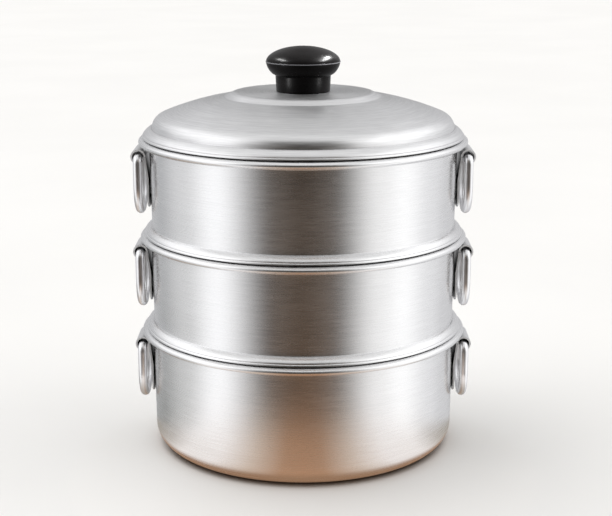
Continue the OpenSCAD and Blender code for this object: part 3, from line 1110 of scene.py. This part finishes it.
@dataclass
class Studio:
    """Pale floor, soft light and the camera."""

    axis_to_camera: float = 1039.5 * MM
    camera_x: float = 2.05 * MM
    camera_z: float = 389.1 * MM
    pitch: float = 13.58
    focal_px: float = 1433.2
    picture_w: int = 612
    sensor: float = 36.0
    floor_r: float = 9.0
    glow: float = 1.25
    horizon: tuple[tuple[float, Color], ...] = (
        (-180, (0.25, 0.25, 0.25)), (-168, (0.47, 0.47, 0.48)), (-135, (0.43, 0.435, 0.445)),
        (-100, (0.70, 0.70, 0.71)), (-68, (1.06, 1.06, 1.07)),
        (-21, (0.078, 0.070, 0.063)), (0, (0.026, 0.022, 0.019)), (20, (0.082, 0.074, 0.067)),
        (59, (0.90, 0.895, 0.89)), (80, (1.08, 1.08, 1.08)), (110, (0.78, 0.78, 0.79)),
        (135, (0.60, 0.60, 0.61)), (168, (0.50, 0.50, 0.51)), (180, (0.25, 0.25, 0.25)))
    upper: tuple[tuple[float, Color], ...] = (
        (-180, (0.22, 0.22, 0.22)), (-160, (0.62, 0.62, 0.63)), (-135, (1.10, 1.10, 1.11)),
        (-72, (1.40, 1.40, 1.41)),
        (-20, (0.075, 0.070, 0.066)), (0, (0.045, 0.042, 0.040)), (20, (0.09, 0.085, 0.08)),
        (59, (1.22, 1.22, 1.22)), (86, (1.45, 1.45, 1.45)), (135, (1.10, 1.10, 1.11)),
        (160, (0.62, 0.62, 0.63)), (180, (0.22, 0.22, 0.22)))
    upper_at: tuple[float, float] = (6.0, 36.0)
    below: tuple[tuple[float, Color], ...] = (
        (-90, (0.60, 0.53, 0.47)), (-52, (0.60, 0.53, 0.47)), (-32, (0.27, 0.18, 0.12)),
        (-17, (0.0, 0.0, 0.0)))
    low_left: tuple[tuple[float, Color], ...] = (
        (-180, (0.72, 0.73, 0.72)), (-135, (0.54, 0.54, 0.50)), (-100, (0.68, 0.68, 0.65)),
        (-70, (1.0, 1.0, 1.0)), (150, (1.0, 1.0, 1.0)), (180, (0.72, 0.73, 0.72)))
    low_at: tuple[float, float] = (-20.0, -16.0)
    cap: Color = (0.76, 0.76, 0.76)
    cap_tilt: float = 4.5
    cap_at: tuple[float, float] = (27.0, 48.0)
    # The warm disc glows as a painted reflection of a wooden board: the ramp paints the wood and its sheen by
    # bearing.
    disc_r: float = 0.167
    disc_ahead: float = 0.077
    disc: tuple[tuple[float, Color], ...] = (
        (0, (0.52, 0.29, 0.17)), (9, (0.52, 0.30, 0.18)), (24, (0.74, 0.59, 0.48)), (42, (1.05, 0.98, 0.94)),
        (61, (1.05, 0.99, 0.95)), (77, (0.60, 0.55, 0.50)), (92, (0.42, 0.38, 0.33)),
        (180, (0.40, 0.36, 0.32)))
    # Painted shade in the board's reflection near the pot's foot.
    disc_shaded: Color = (0.38, 0.22, 0.13)
    near_at: tuple[float, float] = (0.109, 0.121)
    foot_at: tuple[float, float] = (0.097, 0.106)
    foot_shade: float = 0.02
    floor_color: Color = (0.80, 0.79, 0.77)
    backdrop: Color = (0.86, 0.855, 0.845)
    sun_energy: float = 1.1
    sun_width: float = 70.0
    sun_turn: tuple[float, float, float] = (-18.0, -22.0, 0.0)
    knob_lamps: tuple[SoftBox, ...] = (
        SoftBox("knob_left", -91.0, 44.0, (0.56, 0.10), 200.0),
        SoftBox("knob_right", 106.0, 46.0, (0.84, 0.12), 300.0),
        SoftBox("knob_left_strip", -62.0, -4.0, (0.10, 0.36), 110.0),
        SoftBox("knob_right_strip", 70.0, -4.0, (0.24, 0.36), 34.0))

    def camera(self) -> None:
        """Places the camera where the photograph was taken from."""
        data = bpy.data.cameras.new("camera")
        data.sensor_width = self.sensor
        data.lens = self.focal_px * self.sensor / self.picture_w
        data.clip_start, data.clip_end = 0.05, 60.0
        eye = bpy.data.objects.new("camera", data)
        eye.location = (self.camera_x, -self.axis_to_camera, self.camera_z)
        eye.rotation_euler = (math.radians(90.0 - self.pitch), 0.0, 0.0)
        bpy.context.scene.collection.objects.link(eye)
        bpy.context.scene.camera = eye

    def ground(self, name: str, radius: float, finish: Material) -> Object:
        """Lays a round sheet under the steamer.

        Args:
            name: Name of the sheet.
            radius: Its radius.
            finish: Its material.

        Returns:
            The sheet.
        """
        sheet = new_object(name, spin([(radius, 0.0), (0.0, 0.0)]))
        sheet.data.materials.append(finish)
        return sheet

    def matt(self) -> Material:
        """Builds the floor's finish, with painted shade right under the pot.

        Returns:
            The material.
        """
        made, graph = fresh_material("pale_matt")
        cloud = graph.noise(graph.place(), 3.0, 4.0)
        shade = graph.mapped(cloud, *DARK_NOISE, 0.975, 1.0)
        # Painted shadow of the pot on the floor, in the gap under it.
        shade = graph.maths("MULTIPLY", shade, graph.shade_in_gaps(10.0 * MM, 0.04))
        graph.surface("ShaderNodeBsdfPrincipled", {
            "Base Color": graph.scaled(self.floor_color, shade), "Roughness": 0.75})
        return made

    def warm_glow(self) -> Material:
        """Builds the finish of the glowing disc: a painted reflection of a wooden board, with painted sheen
        by the bearing and painted shade by the distance from the axis.

        Returns:
            The material.
        """
        made, graph = fresh_material("warm_glow")
        spot = graph.node("ShaderNodeNewGeometry").outputs["Position"]
        way = graph.split(spot)
        turn = graph.maths("ARCTAN2", graph.maths("ABSOLUTE", way[0]), graph.maths("MULTIPLY", way[1], -1.0))
        part = graph.maths("MULTIPLY", turn, 1.0 / math.pi)
        tint = graph.ramp(part, [(degrees / 180.0, color) for degrees, color in self.disc])
        out = graph.vectors("LENGTH", spot)["Value"]
        # Painted shade: the wood turns darker and browner near the pot.
        tint = graph.mixed(graph.mapped(out, *self.near_at, 1.0, 0.0), tint, (*self.disc_shaded, 1.0))
        # Painted shade right at the pot's foot.
        shade = graph.mapped(out, *self.foot_at, self.foot_shade, 1.0)
        # The disc glows though it is no lamp; it lights nothing.
        graph.surface("ShaderNodeEmission", {0: graph.scaled(tint, shade), 1: 1.0})
        made.cycles.emission_sampling = "NONE"
        return made

    def floor(self) -> None:
        """Lays the pale floor, and on it a warm, glowing disc that is only seen in the metal as a painted
        reflection of a wooden board.
        """
        self.ground("pale_floor", self.floor_r, self.matt()).visible_glossy = False
        disc = self.ground("mirrored_board", self.disc_r, self.warm_glow())
        disc.location.y = -self.disc_ahead
        disc.visible_camera = disc.visible_diffuse = disc.visible_shadow = False

    @staticmethod
    def passed(graph: Graph, angle: object, ends: tuple[float, float]) -> Socket:
        """Returns how far an angle has come from one angle to another, which are in degrees."""
        return graph.mapped(angle, math.radians(ends[0]), math.radians(ends[1]), 0.0, 1.0)

    def sky(self) -> None:
        """Surrounds the scene with a dark front, bright sides, a grey back and a pale cap."""
        world = bpy.data.worlds.new("soft_room")
        bpy.context.scene.world = world
        world.use_nodes = True
        graph = Graph(world.node_tree)
        toward = graph.node("ShaderNodeTexCoord").outputs["Generated"]
        way = graph.split(toward)
        turn = graph.maths("ARCTAN2", way[0], graph.maths("MULTIPLY", way[1], -1.0))
        part = graph.maths("MULTIPLY_ADD", turn, 0.5 / math.pi, 0.5)
        bands = [graph.ramp(part, [(0.5 + degrees / 360.0, color) for degrees, color in stops], "EASE")
                 for stops in (self.horizon, self.upper, self.low_left)]
        height = graph.maths("ARCSINE", way[2])
        lifted = graph.mixed(self.passed(graph, height, self.upper_at), bands[0], bands[1])
        lower = graph.vectors("MULTIPLY", lifted, bands[2])[0]
        lifted = graph.mixed(self.passed(graph, height, self.low_at), lower, lifted)
        level = graph.maths("MULTIPLY_ADD", height, 1.0 / math.pi, 0.5)
        warm = graph.ramp(level, [(0.5 + degrees / 180.0, color) for degrees, color in self.below])
        room = graph.vectors("MAXIMUM", lifted, warm)[0]
        tilt = math.radians(self.cap_tilt)
        pole = graph.vectors("DOT_PRODUCT", toward, (0.0, math.sin(tilt), math.cos(tilt)))["Value"]
        capped = graph.mixed(self.passed(graph, graph.maths("ARCCOSINE", pole), self.cap_at),
                             (*self.cap, 1.0), room)
        lit = graph.node("ShaderNodeBackground", {0: capped, 1: self.glow})
        seen = graph.node("ShaderNodeBackground", {0: (*self.backdrop, 1.0), 1: 1.0})
        ray = graph.node("ShaderNodeLightPath").outputs["Is Camera Ray"]
        both = graph.node("ShaderNodeMixShader", {0: ray, 1: lit.outputs[0], 2: seen.outputs[0]})
        graph.node("ShaderNodeOutputWorld", {0: both.outputs[0]})

    def sun(self) -> None:
        """Adds soft, even light for the floor, which metal doesn't mirror."""
        data = bpy.data.lights.new("soft_sun", "SUN")
        data.energy, data.angle = self.sun_energy, math.radians(self.sun_width)
        lamp = bpy.data.objects.new("soft_sun", data)
        lamp.rotation_euler = [math.radians(degrees) for degrees in self.sun_turn]
        lamp.visible_glossy = False
        bpy.context.scene.collection.objects.link(lamp)

    def build(self) -> None:
        """Sets the whole studio."""
        self.camera()
        self.floor()
        self.sky()
        self.sun()
        bpy.context.scene.view_settings.view_transform = "Standard"

    def light_knob(self, knob: Object) -> None:
        """Adds the highlights that black plastic needs."""
        for lamp in self.knob_lamps:
            lamp.light(knob)


def main() -> None:
    """Builds the studio and the steamer, piece by piece."""
    logging.basicConfig(level=logging.INFO, format="%(message)s")
    studio = Studio()
    studio.build()
    shared = Sections(rim_r=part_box("bottom_pot")[1].y)
    rims = {tier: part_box(tier.vessel)[1].z for tier in Tier}
    BottomPot(shared, BrushedAluminium("brushed_wall", rims=(rims[Tier.BOTTOM],))).build()
    pan_finish = BrushedAluminium("brushed_pan", rims=(rims[Tier.MIDDLE], rims[Tier.TOP])).material()
    for tier in (Tier.MIDDLE, Tier.TOP):
        SteamingPan(shared, tier, pan_finish).build()
    Lid(shared, BrushedAluminium("spun_lid", roughness=0.35, line_relief=0.10, haze=0.06, wear=0.15)).build()
    studio.light_knob(Knob().build())
    ring_finish = PolishedMetal("polished_wire").material()
    strap_finish = BrushedAluminium("strap_sheet", roughness=0.22, grain=Grain.ALONG_SHEET).material()
    for tier in Tier:
        for side in Side:
            Handle(tier, side, ring_finish, strap_finish, rims[tier], shared.wall_r).build()
    for finish, slot, nodes in (
            (PolishedMetal("rivet_metal", roughness=0.2), "rivet_aluminium",
             [f"{tier.prefix}_rivets" for tier in Tier]),
            (PolishedMetal("turned_brass", (0.75, 0.56, 0.24), 0.24), "brass_insert", ["knob_insert"]),
            (PolishedMetal("plain_steel", (0.55, 0.55, 0.56), 0.26), "steel_fixings",
             ["knob_screw", "knob_washer"]),
            (BrushedAluminium("pressed_plate", roughness=0.34, grain=Grain.NONE, anisotropic=0.0),
             "plate_aluminium", ["middle_idli_plate", "top_idli_plate"])):
        PackedPieces(finish.material(), slot, nodes).dress()


if __name__ == "__main__":
    main()
